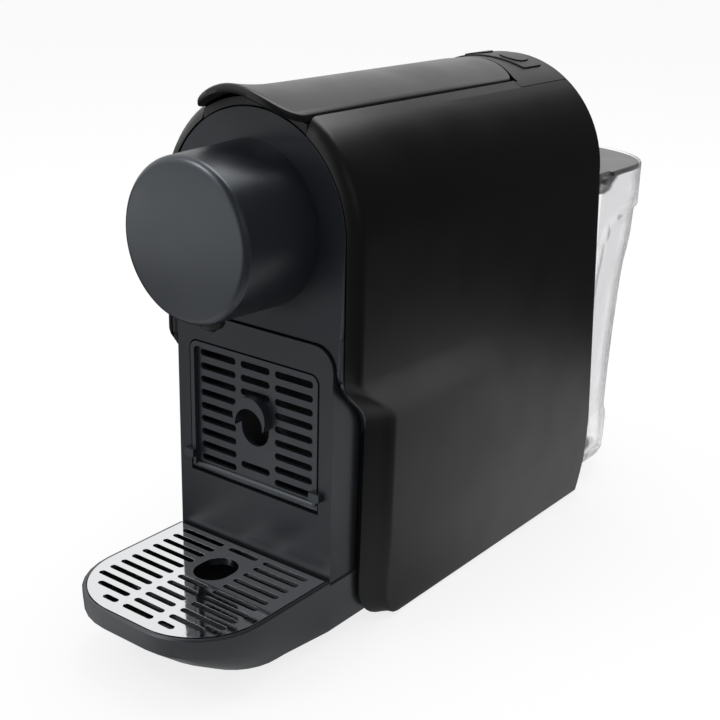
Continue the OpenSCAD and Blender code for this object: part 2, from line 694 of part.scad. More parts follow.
// ---- lever ---------------------------------------------------------------------

// Front edge of the lever in plan, and its rear end
function lip_y(x) = 3 - (lip_reach + 3) * sqrt(max(0, 1 - pow(abs(x) / (lever_half + 0.3), 2.6)));
function tail_y(x) = let (corner = 4, e = max(0, abs(x) - (lever_half - corner)) / corner)
    lever_rear - rear_arc_r + sqrt(pow(rear_arc_r, 2) - pow(x, 2)) - corner * (1 - sqrt(max(0, 1 - e * e)));

// Height of the lever's top, with the lip turned up in the middle
function lever_z(x, y) = arch_z + sqrt(pow(lever_r, 2) - pow(x, 2))
    + lip_rise * pow(clamp01((26 - y) / (26 + lip_reach)), 1.8) * pow(max(0, cos(clamp01(abs(x) / 26) * 90)), 1.3);
// Wall of the lever, thicker at the lip
function lever_t(y) = lever_wall + 2 * pow(clamp01((12 - y) / (12 + lip_reach)), 1.5);

lever_n = 26;            // steps across the lever
lever_at = [0, 0.9, 3, 7, 12, 18, 26, 36, 60, 110, 150];

// One section of the lever: v mm behind its front edge, pulled in by e at the skins
function lever_section(v, e) =
    let (us = [for (k = [0:lever_n]) let (s = -1 + 2 * k / lever_n) lever_half * sin(90 * s)],
         ys = [for (x = us) v < 0 ? tail_y(x) : min(lerp(lip_y(x), v, clamp01(v / 60)) + v * (1 - clamp01(v / 60)),
                                                  tail_y(x) - 0.8)])
    concat(
        [for (k = [0:lever_n]) [us[k], ys[k], lever_z(us[k], ys[k]) - e]],
        [for (k = [lever_n:-1:0]) [us[k], ys[k], lever_z(us[k], ys[k]) - max(lever_t(ys[k]) - e, e + 0.3)]]);

lug_x = [13.2, arm_x[0] - 0.2];
lug_y = [101, 118];
lever_screw_at = [[105, pivot_z + 12], [114, pivot_z + 12]];
function under_lever(x) = arch_z + sqrt(pow(lever_r - lever_wall, 2) - pow(x, 2));

module lever_cover() placed() color("#1b1b1c") {
    loft(concat([lever_section(0, 0.9)], [lever_section(0.45, 0.25)],
                [for (v = [1.2, 3, 7, 12, 18, 26, 36, 60, 110, 150]) lever_section(v, 0)],
                [lever_section(163, 0)], [lever_section(-1, 0.5)]));
    // lugs that the yoke is screwed to
    both_sides() difference() {
        side_plate(lug_x[0], lug_x[1]) polygon([
            [lug_y[0], pivot_z + 8], [lug_y[1], pivot_z + 8],
            [lug_y[1], under_lever(lug_x[1]) + 0.3], [lug_y[0], under_lever(lug_x[1]) + 0.3]]);
        for (p = lever_screw_at) translate([0, p.x, p.y]) rod_x(1.25, lug_x[0] - 1, lug_x[1] + 1);
    }
}

// Path of the follower pin seen from the lever, as [y, z]
cam_steps = 14;
function cam_at(i) =
    let (a = lever_open * i / cam_steps,
         f = pivot_y - follower_y - cage_travel * i / cam_steps,
         u = follower_z - pivot_z)
    [pivot_y - (f * cos(a) + u * sin(a)), pivot_z + (-f * sin(a) + u * cos(a))];
function unit2(v) = v / norm(v);
function cam_side(i) = let (d = unit2(cam_at(min(cam_steps, i + 1)) - cam_at(max(0, i - 1)))) [-d.y, d.x];

module cam_path(r) {
    polygon(concat([for (i = [0:cam_steps]) cam_at(i) + r * cam_side(i)],
                   [for (i = [cam_steps:-1:0]) cam_at(i) - r * cam_side(i)]));
    translate(cam_at(0)) circle(r);
    translate(cam_at(cam_steps)) circle(r);
}

module lever_yoke() placed() color("#4a4c4f") difference() {
    union() {
        both_sides() side_plate(arm_x[0], arm_x[1]) difference() {
            union() {
                cam_path(6.5);
                translate([pivot_y, pivot_z]) circle(8);
                polygon([[97, under_lever(arm_x[1]) - 0.3], [144, under_lever(arm_x[1]) - 0.3],
                         [pivot_y + 6, pivot_z + 5], [pivot_y + 6, pivot_z - 22],
                         cam_at(7), cam_at(0), cam_at(0) + [-6, 2]]);
            }
            cam_path(follower_r + rub);
        }
        translate([0, pivot_y, pivot_z]) rod_x(6.4, -arm_x[1], arm_x[1]);
    }
    translate([0, pivot_y, pivot_z]) rod_x(pin_r + fit, -arm_x[1] - 1, arm_x[1] + 1);
    both_sides() for (p = lever_screw_at) translate([0, p.x, p.y]) rod_x(1.7, arm_x[0] - 1, arm_x[1] + 1);
}

module lever_screws() placed() color("silver") both_sides()
    for (p = lever_screw_at) translate([0, p.x, p.y]) {
        rod_x(1.2, lug_x[0] + 0.5, arm_x[1]);
        rod_x(2.6, arm_x[1], arm_x[1] + 1.2);
    }

module lever_pin() placed() color("silver") translate([0, pivot_y, pivot_z]) {
    rod_x(pin_r, -frame_x[1] - 1.4, frame_x[1] + 1.4);
    both_sides() rod_x(pin_r + 1.4, frame_x[1] + 0.2, frame_x[1] + 1.4);
}

// ---- water system ----------------------------------------------------------------

floor_z = case_z0 + 5;   // top of the chassis floor
pump_at = [-22, 158];
pump_z = [12, 106];

module water_pump() placed() translate([pump_at.x, pump_at.y, 0]) {
    color("#c8c6bd") rod_z(11, pump_z[0] + 4, pump_z[1] - 18);
    color("#b08d3c") rod_z(5, pump_z[1] - 18, pump_z[1]);
    color("#c8c6bd") rod_z(4, pump_z[0], pump_z[0] + 4);
    color("#3d3f42") difference() {
        translate([0, 0, 36]) linear_extrude(38) soft_rect([-19, -21], [19, 21], 4);
        rod_z(11.2, 35, 75);
    }
    color("#8f9194") for (z = [33.6, 74]) difference() {
        translate([0, 0, z]) linear_extrude(2.4) square([42, 34], center = true);
        rod_z(11.2, z - 1, z + 4);
    }
}

module pump_mounts() placed() color("#1a1a1a") translate([pump_at.x, pump_at.y, 0]) {
    difference() {
        rod_z(15, floor_z, pump_z[0] + 12);
        rod_z(4.3, floor_z - 1, pump_z[0] + 5);
        rod_z(11.2, pump_z[0] + 3.8, pump_z[0] + 13);
        translate([0, 0, floor_z + 4.6]) rod_y(hose_r + fit, 0, 16);
    }
    difference() {
        union() {
            rod_z(14, 78, 86);
            block([-6, wall_y[1] + rub - pump_at.y, 78], [6, -8, 86]);
        }
        rod_z(11.2, 77, 87);
    }
}

block_at = [26, 148];
block_z = [20, 112];
stub_in = [36, pump_at.y];    // water connections on top of the heater
stub_out = [12, 146];

module thermoblock() placed() translate([block_at.x, block_at.y, 0]) {
    color("#b4b6b8") {
        translate([0, 0, block_z[0]]) linear_extrude(block_z[1] - block_z[0]) soft_rect([-19, -23], [19, 23], 5);
        for (k = [0:6]) block([-20.5, -21 + 6.4 * k, block_z[0] + 6], [-18.9, -17.4 + 6.4 * k, block_z[1] - 6]);
        for (x = [-12, 12], y = [-16, 16]) translate([x, y, 0]) rod_z(3.5, floor_z, block_z[0] + 0.1);
    }
    color("#b08d3c") for (p = [stub_in, stub_out]) translate(p - block_at)
        rod_z(3, block_z[1] - 0.1, block_z[1] + 7);
    color("#7a3a2a") translate([0, -12, 0]) rod_z(8, block_z[1] + rub, block_z[1] + 6);
}

meter_at = [24, 189];

module flow_meter() placed() color("#d8d8d2") translate([meter_at.x, meter_at.y, 0]) {
    rod_z(12, floor_z + 10, floor_z + 24);
    rod_z(3, floor_z + 23.9, floor_z + 27);
    for (x = [-7, 7]) translate([x, 0, 0]) rod_z(2.5, floor_z, floor_z + 10.1);
    translate([0, 0, floor_z + 17]) rod_x(3, -17, -11);
}

hose_r = 2.1;
hose_z = floor_z + hose_r + 0.1;   // hose on the chassis floor
pipe_y = meter_at.y;

// A hose that runs along the axes through a list of corners, each a quarter bend of radius b
module hose(pts, b = 5) {
    last = len(pts) - 1;
    way = [for (i = [0:last - 1]) (pts[i + 1] - pts[i]) / norm(pts[i + 1] - pts[i])];
    for (i = [0:last - 1])
        let (from = pts[i] + way[i] * (i > 0 ? b : 0), to = pts[i + 1] - way[i] * (i < last - 1 ? b : 0))
            translate(from) rotate([0, acos(way[i].z), atan2(way[i].y, way[i].x)])
                cylinder(r = hose_r, h = norm(to - from));
    for (i = [1:last - 1])
        let (u = -way[i], v = way[i - 1], n = cross(u, v), c = pts[i] - b * v - b * u)
            multmatrix([[u.x, v.x, n.x, c.x], [u.y, v.y, n.y, c.y], [u.z, v.z, n.z, c.z], [0, 0, 0, 1]])
                rotate_extrude(angle = 90) translate([b, 0]) circle(hose_r);
}

module suction_hose() placed() color("#d9dde0")
    hose([[0, valve_y - 12.2, hose_z], [0, pipe_y, hose_z], [0, pipe_y, floor_z + 17],
          [meter_at.x - 17.2, pipe_y, floor_z + 17]]);

module meter_hose() placed() color("#d9dde0")
    hose([[meter_at.x, pipe_y, floor_z + 27.2], [meter_at.x, pipe_y, floor_z + 38],
          [pump_at.x, pipe_y, floor_z + 38], [pump_at.x, pipe_y, floor_z + 4.6],
          [pump_at.x, pump_at.y + 7, floor_z + 4.6]]);

module pump_hose() placed() color("#d9dde0")
    hose([[pump_at.x, pump_at.y, pump_z[1] + 0.2], [pump_at.x, pump_at.y, block_z[1] + 14],
          [stub_in.x, stub_in.y, block_z[1] + 14], [stub_in.x, stub_in.y, block_z[1] + 7.2]]);

module brew_hose() placed() color("#e6e6e0")
    hose([[stub_out.x, stub_out.y, block_z[1] + 7.2], [stub_out.x, stub_out.y, 150],
          [0, stub_out.y, 150], [0, stub_out.y, axis_z], [0, sleeve_y[1] + 0.2, axis_z]]);

nozzle_r = 4.6;

module dock_nozzle() placed() color("#2c2c2c") translate([0, valve_y, 0]) difference() {
    union() {
        rod_z(nozzle_r, case_z0 + 0.6, tank_z0 + 1.6);
        rod_z(nozzle_r + 1.6, dock[2], dock[2] + 0.2);
    }
    rod_z(2.6, case_z0, tank_z0 - 3);
    for (a = [0, 90]) translate([0, 0, tank_z0 - 3.4]) rotate([0, 0, a]) cube([2, 7, 3], center = true);
}

module dock_seal() placed() color("#101010") translate([0, valve_y, tank_z0 + 0.7]) rotate_extrude()
    translate([nozzle_r + 0.72, 0]) circle(0.7);

// ---- cup unit ----------------------------------------------------------------------

tray_half = panel_half + 0.7;
tray_back = bin_depth - 12;
foot_front = [43.6, 32, 26];   // underside: half width, start of the corner, its radius
tray_rim = grate_z - 0.4;
tray_side_top = grate_z - 1.9;
chin_z = 17.5;                 // height of the crease above the underside, at the front

function chin(y) = chin_z * (1 - pow(clamp01((y + 62) / 64), 2.6));

// Right half of the tray's outline, rear to front: t = 0 at the rim, 1 at the underside
tray_ys = [1, 0.8, 0.35, 0.12, 0.04, 0, -0.02, -0.12, -0.26, -0.4, -0.54, -0.68, -0.84, -1];
function tray_half_ring(t, d) =
    let (ya = tray_reach - tray_round, yb = foot_front[1],
         rt = max(1, tray_round - d), rb = foot_front[2] - d * 0.8)
    concat(
        [for (s = tray_ys) let (
            yt = s > 0 ? s * tray_back - (s == 1 ? d : 0) : s * ya,
            yl = s > 0 ? yt : s * yb,
            xt = tray_half - d,
            xl = tray_half - 1.2 - (tray_half - 1.2 - foot_front[0]) * clamp01(-s * 1.1) - d)
            [lerp(xt, xl, t), lerp(yt, yl, t)]],
        [for (k = [1:8]) let (a = 90 * k / 8,
            pt = [tray_half - tray_round + rt * cos(a), -ya - rt * sin(a)],
            pb = [foot_front[0] - foot_front[2] + rb * cos(a), -yb - rb * sin(a)])
            lerp(pt, pb, t)]);

// mode: 0 underside, 1 half way up the chin, 2 crease, 3 band, 4.. rim and inside
function tray_level(y, mode) =
    mode == 0 ? tray_z0 :
    mode == 1 ? tray_z0 + max(chin(y) * 0.45, 0.7) :
    mode == 2 ? tray_z0 + max(chin(y), 1.6) :
    mode == 3 ? lerp(tray_z0 + max(chin(y), 1.6), tray_top(y), 0.6) :
    mode == 4 ? tray_top(y) - 0.7 :
    mode == 5 ? tray_top(y) :
    mode == 6 ? grate_z - grate_t - 0.2 :
    mode == 7 ? max(tray_z0 + chin(y) + 1, tray_z0 + 4) : tray_z0 + 2.4;
function tray_top(y) = y > -0.5 ? tray_side_top : tray_rim;

function tray_ring(t, d, mode) =
    let (h = tray_half_ring(t, d), top = tray_half_ring(0, 0), n = len(h))
    concat(
        [for (i = [0:n - 1]) [h[i].x, h[i].y, tray_level(top[i].y, mode)]],
        [for (i = [n - 1:-1:0]) [-h[i].x, h[i].y, tray_level(top[i].y, mode)]]);

module drip_tray() placed() color("#1c1d1f")
    loft([tray_ring(1, 0, 0), tray_ring(0.5, 0, 1), tray_ring(0.03, 0, 2), tray_ring(0.01, 0, 3),
          tray_ring(0, 0, 4), tray_ring(0, 0.6, 5), tray_ring(0, 1.8, 5), tray_ring(0, 1.8, 6),
          tray_ring(0, 3.6, 6), tray_ring(0, 3.8, 7), tray_ring(0.94, 3.2, 8)]);

grate_half = tray_half - 2.1;
grate_y = [-(tray_reach - 2.1), -2.1];

module grate_outline() {
    r = tray_round - 1.3;
    translate([-grate_half, grate_y[0] + r]) square([2 * grate_half, grate_y[1] - grate_y[0] - r]);
    translate([-grate_half + r, grate_y[0]]) square([2 * (grate_half - r), r + 1]);
    for (s = [-1, 1]) translate([s * (grate_half - r), grate_y[0] + r]) circle(r);
}

// Reach of a side slot in row k
function side_slot_end(k) = k < 9 ? 39.7 : k == 9 ? 32.9 : 22;
function row_y(k) = grate_y[1] - 4.9 - grate_pitch * k;

module pour_hole(w, l, grow) {
    square([w + 2 * grow, l - w], center = true);
    for (s = [-1, 1]) translate([0, s * (l - w) / 2]) circle(w / 2 + grow);
}

module drip_grate() placed() color("#d6d8da") {
    translate([0, 0, grate_z - grate_t]) linear_extrude(grate_t) difference() {
        grate_outline();
        for (k = [0:10]) {
            for (s = [-1, 1]) translate([s * (13.1 + side_slot_end(k)) / 2, row_y(k)])
                slot_2d(side_slot_end(k) - 13.1, grate_slot);
            if (k == 0 || k > 4) translate([0, row_y(k)]) slot_2d(18, grate_slot);
        }
        translate([0, -spout_y]) pour_hole(18, 22.5, 0);
    }
    // turned-down edge of the pour hole
    translate([0, -spout_y, grate_z - grate_t - 2]) linear_extrude(2.1) difference() {
        pour_hole(18, 22.5, 1);
        pour_hole(18, 22.5, 0);
    }
}

pocket_y = 11;           // depth of the recess behind the cup rest

module front_panel() placed() color("#1f2125") difference() {
    union() {
        from_to(0, unit_wall) soft_rect([-panel_half, tray_side_top + 0.3], [panel_half, panel_top], panel_round);
        // square lower corners
        from_to(0, unit_wall) translate([-panel_half, tray_side_top + 0.3])
            square([2 * panel_half, 2 * panel_round]);
        both_sides() block([panel_half - unit_wall, unit_wall - 0.1, tray_side_top + 0.3],
                           [panel_half, 52, panel_top - panel_round]);
        // recess for the cup rest
        block([-rest_half - 2, unit_wall - 0.1, rest_z0 - 2], [rest_half + 2, pocket_y + 1.6, rest_z1 + 2]);
    }
    from_to(-1, pocket_y) {
        soft_rect([-rest_half, rest_z0], [rest_half, rest_z1], 5);
        translate([-rest_half, rest_z0]) square([2 * rest_half, 12]);
    }
    translate([0, hinge_y, hinge_z]) rod_x(stub_r + fit, -rest_half - 3, rest_half + 3);
}

bin_half = panel_half - 3.6;   // clear of the cup unit's cheeks

module capsule_bin() placed() color("#26282b") difference() {
    block([-bin_half, pocket_y + 2, tray_side_top + 0.3], [bin_half, bin_depth, 140]);
    block([-bin_half + 2, pocket_y + 4, tray_side_top + 2.5], [bin_half - 2, bin_depth - 2, 141]);
    // drain slots
    for (x = [-30:10:30]) translate([x, 62, tray_side_top - 1]) linear_extrude(5) rotate(90) slot_2d(50, 3);
}

hinge_y = 2.4;
hinge_z = rest_z0 + 2.8;
stub_r = 1.6;
rest_face = 2;           // grille face behind the panel plane
rest_t = 2;
rest_gap = 0.8;
collar_z = rest_z1 - 30.1;

// The hole that lets the coffee through when the rest is folded down
module rest_hole() {
    for (z = [collar_z - 7.1, collar_z - 4.1]) translate([0, z]) circle(8.5);
    translate([-8.5, collar_z - 7.1]) square([17, 3]);
}

module cup_rest() placed() color("#1d1e20") {
    w = rest_half - rest_gap;
    top = rest_z1 - rest_gap;
    from_to(rest_face, rest_face + rest_t) difference() {
        soft_rect([-w, hinge_z], [w, top], 4.2);
        for (k = [0:8]) translate([0, top - 5.8 - rest_pitch * k]) {
            for (s = [-1, 1]) translate([s * 23.4, 0]) slot_2d(22.6, rest_slot);
            if (k < 3) slot_2d(18, rest_slot);
        }
        translate([0, top - 5.8 - rest_pitch * 7.5]) slot_2d(18, rest_slot);
        rest_hole();
    }
    // raised rim on three sides
    from_to(-0.3, rest_face + 0.1) difference() {
        soft_rect([-w, hinge_z], [w, top], 4.2);
        soft_rect([-w + 2.3, hinge_z - 9], [w - 2.3, top - 2.3], 2.4);
    }
    // square lower corners of the grille, and the hinge bar with its stubs
    from_to(rest_face, rest_face + rest_t) difference() {
        translate([-w, hinge_z]) square([2 * w, 5]);
        translate([-w + 4, hinge_z - 1]) square([2 * w - 8, 8]);
    }
    translate([0, hinge_y, hinge_z]) {
        rod_x(2.2, -w, w);
        rod_x(stub_r, -rest_half - 1.6, rest_half + 1.6);
    }
    // crescent collar round the upper half of the hole
    from_to(-2.7, rest_face + 0.1) difference() {
        translate([0, collar_z]) circle(10);
        rest_hole();
        translate([-11, collar_z - 12]) square([22, 6]);
    }
    // stop lugs that rest against the panel
    both_sides() block([36.4, -2.8, hinge_z + 4.8], [rest_half + 2.4, -rub, hinge_z + 8.8]);
    both_sides() block([36.9, -0.4, hinge_z + 4.8], [w, rest_face + 0.1, hinge_z + 8.8]);
}

// ---- water tank ----------------------------------------------------------------------

grip_z = tank_top - 27;  // ledge of the finger grip
tank_ease = 16;

function tank_w(z) = tank_half - 2.6 * ease((152 - z) / 28) - 0.8 * clamp01((124 - z) / 110);
function tank_ys(z) = tank_front + 42 - 9 * clamp01((grip_z - z) / 90);
function tank_b(z) = tank_depth - 42 - grip_in * ease((grip_z + 2 - z) / 4);
// Edge of the hollow in the tank's side
function hollow_y(z) = tank_front + 11 + 0.03 * (z - 67) + 30 * exp(-max(0, grip_z + 2 - z) / 7);
function hollow(y, z) = z > grip_z + 2 || z < 38 ? 0 : 1.7 * ease((y - hollow_y(z) + 1) / 2.5) * ease((z - 38) / 3);

tank_side = [5, 8, 11, 13, 15, 17.5, 21, 25, 28.5, 32];
tank_arc = 10;

// Right half of the tank's outline at height z, front to rear, drawn in by d
function tank_half_ring(z, d) =
    let (w = tank_w(z) - d, y0 = tank_front + d, ys = tank_ys(z), b = tank_b(z) - d, r = 4)
    concat(
        [[0, y0]],
        [for (a = [0, 45, 90]) [w - r + r * sin(a), y0 + r * (1 - cos(a))]],
        [for (s = tank_side) let (y = tank_front + max(s, d + r + 0.1 * s)) [w - hollow(y, z), y]],
        [for (k = [0:tank_arc]) let (a = 90 * k / tank_arc, y = ys + b * sin(a))
            [(w - hollow(y, z) * cos(a)) * cos(a), y]]);
function tank_ring(z, d, zz) =
    let (h = tank_half_ring(z, d), n = len(h))
    concat([for (i = [0:n - 1]) [h[i].x, h[i].y, zz]],
           [for (i = [n - 2:-1:1]) [-h[i].x, h[i].y, zz]]);

tank_out = [24, 36, 38.6, 41.4, 60, 90, 120, 132, 142, 150, 156, 160, grip_z - 2, grip_z - 1,
            grip_z, grip_z + 1, grip_z + 2.2, 178, tank_top - 0.8];
tank_in = [tank_top - 6, 178, grip_z + 2.2, grip_z - 2, 156, 142, 120, 80, 41.4, 24];
lid_seat = tank_top - 3.4;
lid_hinge = [tank_front + 13, tank_top - 6];

// The valve's hole in the tank's floor, as a ring with as many points as the outline
function hole_ring(z) = let (n = len(tank_ring(20, 0, 0)))
    [for (i = [0:n - 1]) let (a = 360 * i / n - 90)
        [valve_hole * cos(a), valve_y + valve_hole * sin(a), z]];
valve_hole = nozzle_r + 1.6;

module water_tank() placed() color([0.85, 0.87, 0.9, 0.45])
    loft_round(concat(
        [hole_ring(tank_z0 + 2.4), hole_ring(tank_z0)],
        [tank_ring(20, 6, tank_z0), tank_ring(20, 2, tank_z0 + 1.6), tank_ring(20, 0.4, tank_z0 + 5)],
        [for (z = tank_out) tank_ring(z, 0, z)],
        [tank_ring(tank_top, 0.5, tank_top), tank_ring(tank_top, 1.3, tank_top),
         tank_ring(tank_top, 1.4, lid_seat), tank_ring(tank_top, tank_wall + 0.2, lid_seat)],
        [for (z = tank_in) tank_ring(z, tank_wall, z)],
        [tank_ring(20, 3.4, tank_z0 + 5), tank_ring(20, 7, tank_z0 + 2.4)]));

// Clear bearing blocks on the tank's inner wall
module lid_sockets() placed() color([0.85, 0.87, 0.9, 0.6]) both_sides() difference() {
    side_plate(tank_half - 4.6, tank_half - tank_wall - 0.3) soft_rect(
        [lid_hinge[0] - 4.5, lid_hinge[1] - 5], [lid_hinge[0] + 4.5, lid_hinge[1] + 2.2], 2);
    translate([0, lid_hinge[0], lid_hinge[1]]) rod_x(1.8 + fit, tank_half - 7, tank_half - 2.6);
}

module tank_lid() placed() color("#5b5c5e") {
    difference() {
        translate([0, 0, lid_seat + 0.1]) linear_extrude(2.5)
            polygon([for (p = tank_ring(tank_top, 1.75, 0)) [p.x, p.y]]);
        // narrower ahead of the hinge, so that it can tip down
        block([-tank_half, tank_front - 1, lid_seat - 1], [tank_half, tank_front + 5.6, tank_top + 1]);
        both_sides() block([tank_half - 4.9, tank_front, lid_seat - 1],
                           [tank_half, tank_front + 18, tank_top + 1]);
    }
    both_sides() {
        side_plate(tank_half - 7.2, tank_half - 5) polygon([
            [tank_front + 6.4, lid_seat + 0.2], [tank_front + 6.6, lid_seat - 9],
            [tank_front + 14, lid_seat - 9.6], [tank_front + 22, lid_seat - 6],
            [tank_front + 28, lid_seat - 2], [tank_front + 38, lid_seat + 0.2]]);
        translate([0, lid_hinge[0], lid_hinge[1]]) rod_x(1.8, tank_half - 6, tank_half - 2.9);
    }
}

valve_lift = 2.2;
valve_seat = tank_z0 + 2.4;

module tank_valve() placed() color("#2e3236") translate([0, valve_y, 0]) {
    rod_z(8.6, valve_seat + valve_lift, valve_seat + valve_lift + 2);
    rod_z(2.6, tank_z0 + 1.9, valve_seat + valve_lift + 0.1);
    rod_z(2.2, valve_seat + valve_lift + 1.9, valve_seat + 9);
}

module valve_spring() placed() color("silver") translate([0, valve_y, valve_seat + valve_lift + 2.5])
    for (k = [0:4]) translate([0, 0, 1.7 * k]) rotate_extrude() translate([4, 0]) circle(0.4);

module valve_cage() placed() color("#d0d2d4") translate([0, valve_y, valve_seat]) difference() {
    rod_z(11.6, 0.1, 15);
    rod_z(9.6, -1, 12.6);
    rod_z(2.8, 12, 16);
    for (a = [0:60:120]) rotate([0, 0, a]) block([-20, -3.4, 4], [20, 3.4, 11]);
}

side_cover_right();
side_cover_left();
front_bezel();
top_deck();
rear_cover();
base_plate();
inner_chassis();
rubber_feet();
base_screws();
rear_screws();
control_panel();
button_surround();
espresso_button();
lungo_button();
button_springs();
control_board();
head_drum();
outlet_duct();
coffee_spout();
brew_frame();
extraction_plate();
capsule_cage();
needle_plate();
cage_seal();
follower_pin();
lever_cover();
lever_yoke();
lever_screws();
lever_pin();
water_pump();
pump_mounts();
thermoblock();
flow_meter();
suction_hose();
meter_hose();
pump_hose();
brew_hose();
dock_nozzle();
dock_seal();
cable_gland();
drip_tray();
drip_grate();
front_panel();
capsule_bin();
cup_rest();
water_tank();
lid_sockets();
tank_lid();
tank_valve();
valve_spring();
valve_cage();
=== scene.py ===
import json
import math

import bpy
from mathutils import Matrix, Vector


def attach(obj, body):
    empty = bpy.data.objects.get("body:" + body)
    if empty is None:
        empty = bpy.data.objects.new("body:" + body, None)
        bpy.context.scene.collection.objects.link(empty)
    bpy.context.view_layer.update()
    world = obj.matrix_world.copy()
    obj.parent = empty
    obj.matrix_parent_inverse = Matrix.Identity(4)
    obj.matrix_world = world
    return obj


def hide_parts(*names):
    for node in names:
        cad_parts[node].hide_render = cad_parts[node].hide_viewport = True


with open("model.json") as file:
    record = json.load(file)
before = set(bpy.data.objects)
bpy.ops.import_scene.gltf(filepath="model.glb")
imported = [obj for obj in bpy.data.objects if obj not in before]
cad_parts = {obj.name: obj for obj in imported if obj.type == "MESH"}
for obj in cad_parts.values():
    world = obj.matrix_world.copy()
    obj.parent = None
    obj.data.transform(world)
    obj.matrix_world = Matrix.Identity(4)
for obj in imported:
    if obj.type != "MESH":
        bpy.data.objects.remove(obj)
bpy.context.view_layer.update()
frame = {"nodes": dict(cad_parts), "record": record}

scene = bpy.context.scene
nodes = frame["nodes"]
slotOf = {s["node"]: s["material_slot"] for s in frame["record"]["subparts"]}
bodyOf = {n: b for b, ns in frame["record"]["behaviour"]["bodies"].items() for n in ns}

panelPlane = -0.10925  # front face of the cup unit
headHeight = 0.195  # axis of the brew head
mm = 0.001
nodeMerge = 0.000005  # points of a node's copy this close are one
madeMerge = 0.000004  # the same for a piece made here
white = (1, 1, 1, 1)


# finishes: every pattern runs on Object coordinates, scales are per metre

def shaderOf(mat):
    return mat.node_tree.nodes["Principled BSDF"]


def plainFinish(name, colour, roughness, metallic=0.0, specular=0.5):
    mat = bpy.data.materials.new(name)
    mat.use_nodes = True
    shader = shaderOf(mat)
    shader.inputs["Base Color"].default_value = (*colour, 1)
    shader.inputs["Roughness"].default_value = roughness
    shader.inputs["Metallic"].default_value = metallic
    shader.inputs["Specular IOR Level"].default_value = specular
    return mat


def mappedTexture(mat, kind, scale, stretch):
    tree = mat.node_tree
    coords = tree.nodes.new("ShaderNodeTexCoord")
    mapping = tree.nodes.new("ShaderNodeMapping")
    mapping.inputs["Scale"].default_value = stretch
    texture = tree.nodes.new(kind)
    texture.inputs["Scale"].default_value = scale
    tree.links.new(coords.outputs["Object"], mapping.inputs["Vector"])
    tree.links.new(mapping.outputs["Vector"], texture.inputs["Vector"])
    return texture


def noise(mat, scale, detail, stretch=(1, 1, 1)):
    texture = mappedTexture(mat, "ShaderNodeTexNoise", scale, stretch)
    texture.inputs["Detail"].default_value = detail
    return texture.outputs["Fac"]


def specks(mat, scale):
    return mappedTexture(mat, "ShaderNodeTexVoronoi", scale, (1, 1, 1)).outputs["Distance"]


noiseSpan = (0.3, 0.7)  # most values of a noise lie in here


def varyRoughness(mat, source, low, high):
    tree = mat.node_tree
    remap = tree.nodes.new("ShaderNodeMapRange")
    remap.inputs["From Min"].default_value, remap.inputs["From Max"].default_value = noiseSpan
    remap.inputs["To Min"].default_value = low
    remap.inputs["To Max"].default_value = high
    tree.links.new(source, remap.inputs["Value"])
    tree.links.new(remap.outputs["Result"], shaderOf(mat).inputs["Roughness"])


def tintBetween(mat, source, first, second):
    # first and second: colour and its place along the pattern
    tree = mat.node_tree
    ramp = tree.nodes.new("ShaderNodeValToRGB")
    for element, (colour, place) in zip(ramp.color_ramp.elements, (first, second)):
        element.position = place
        element.color = (*colour, 1)
    tree.links.new(source, ramp.inputs["Fac"])
    tree.links.new(ramp.outputs["Color"], shaderOf(mat).inputs["Base Color"])


def bumpFrom(mat, layers):
    # layers: (pattern, strength, depth in metres), stacked from the coarse to the fine
    tree = mat.node_tree
    last = None
    for source, strength, depth in layers:
        bump = tree.nodes.new("ShaderNodeBump")
        bump.inputs["Strength"].default_value = strength
        bump.inputs["Distance"].default_value = depth
        tree.links.new(source, bump.inputs["Height"])
        if last:
            tree.links.new(last.outputs["Normal"], bump.inputs["Normal"])
        last = bump
    tree.links.new(last.outputs["Normal"], shaderOf(mat).inputs["Normal"])


moulding = {
    "cloud": 34, "cloudDetail": 3, "spread": 0.04,
    "ripple": 120, "rippleStrength": 0.04, "rippleDepth": 0.0002,
    "grainDepth": 0.00006, "detail": 2,
    # dust: bright cores of the specks and where they end
    "dustScale": 900, "dustCore": 0.035, "dustEnd": 0.06,
}


def mouldedPlastic(name, colour, roughness, grain, grainStrength, dust=0.0):
    m = moulding
    mat = plainFinish(name, colour, roughness)
    varyRoughness(mat, noise(mat, m["cloud"], m["cloudDetail"]),
                  roughness - m["spread"], roughness + m["spread"])
    bumpFrom(mat, [
        (noise(mat, m["ripple"], m["detail"]), m["rippleStrength"], m["rippleDepth"]),
        (noise(mat, grain, m["detail"]), grainStrength, m["grainDepth"]),
    ])
    if dust:
        speckColour = [min(1, c + dust) for c in colour]
        tintBetween(mat, specks(mat, m["dustScale"]),
                    (speckColour, m["dustCore"]), (colour, m["dustEnd"]))
    return mat


brushing = {
    "lines": 900, "lineDetail": 3, "lineStrength": 0.06, "lineDepth": 0.00004,
    "smoother": 0.03, "rougher": 0.05, "least": 0.02,
    "wave": 45, "waveDetail": 1, "waveDepth": 0.0005,
}


def metalFinish(name, colour, roughness, stretch=(1, 1, 1), waveStrength=0.0):
    b = brushing
    mat = plainFinish(name, colour, roughness, metallic=1.0)
    lines = noise(mat, b["lines"], b["lineDetail"], stretch)
    varyRoughness(mat, lines, max(b["least"], roughness - b["smoother"]), roughness + b["rougher"])
    bumpFrom(mat, [
        (noise(mat, b["wave"], b["waveDetail"]), waveStrength, b["waveDepth"]),
        (lines, b["lineStrength"], b["lineDepth"]),
    ])
    return mat


clearTank = {"tint": (0.92, 0.91, 0.93), "ior": 1.12, "alpha": 0.55, "haze": 0.03,
             "cloud": 60, "detail": 2}


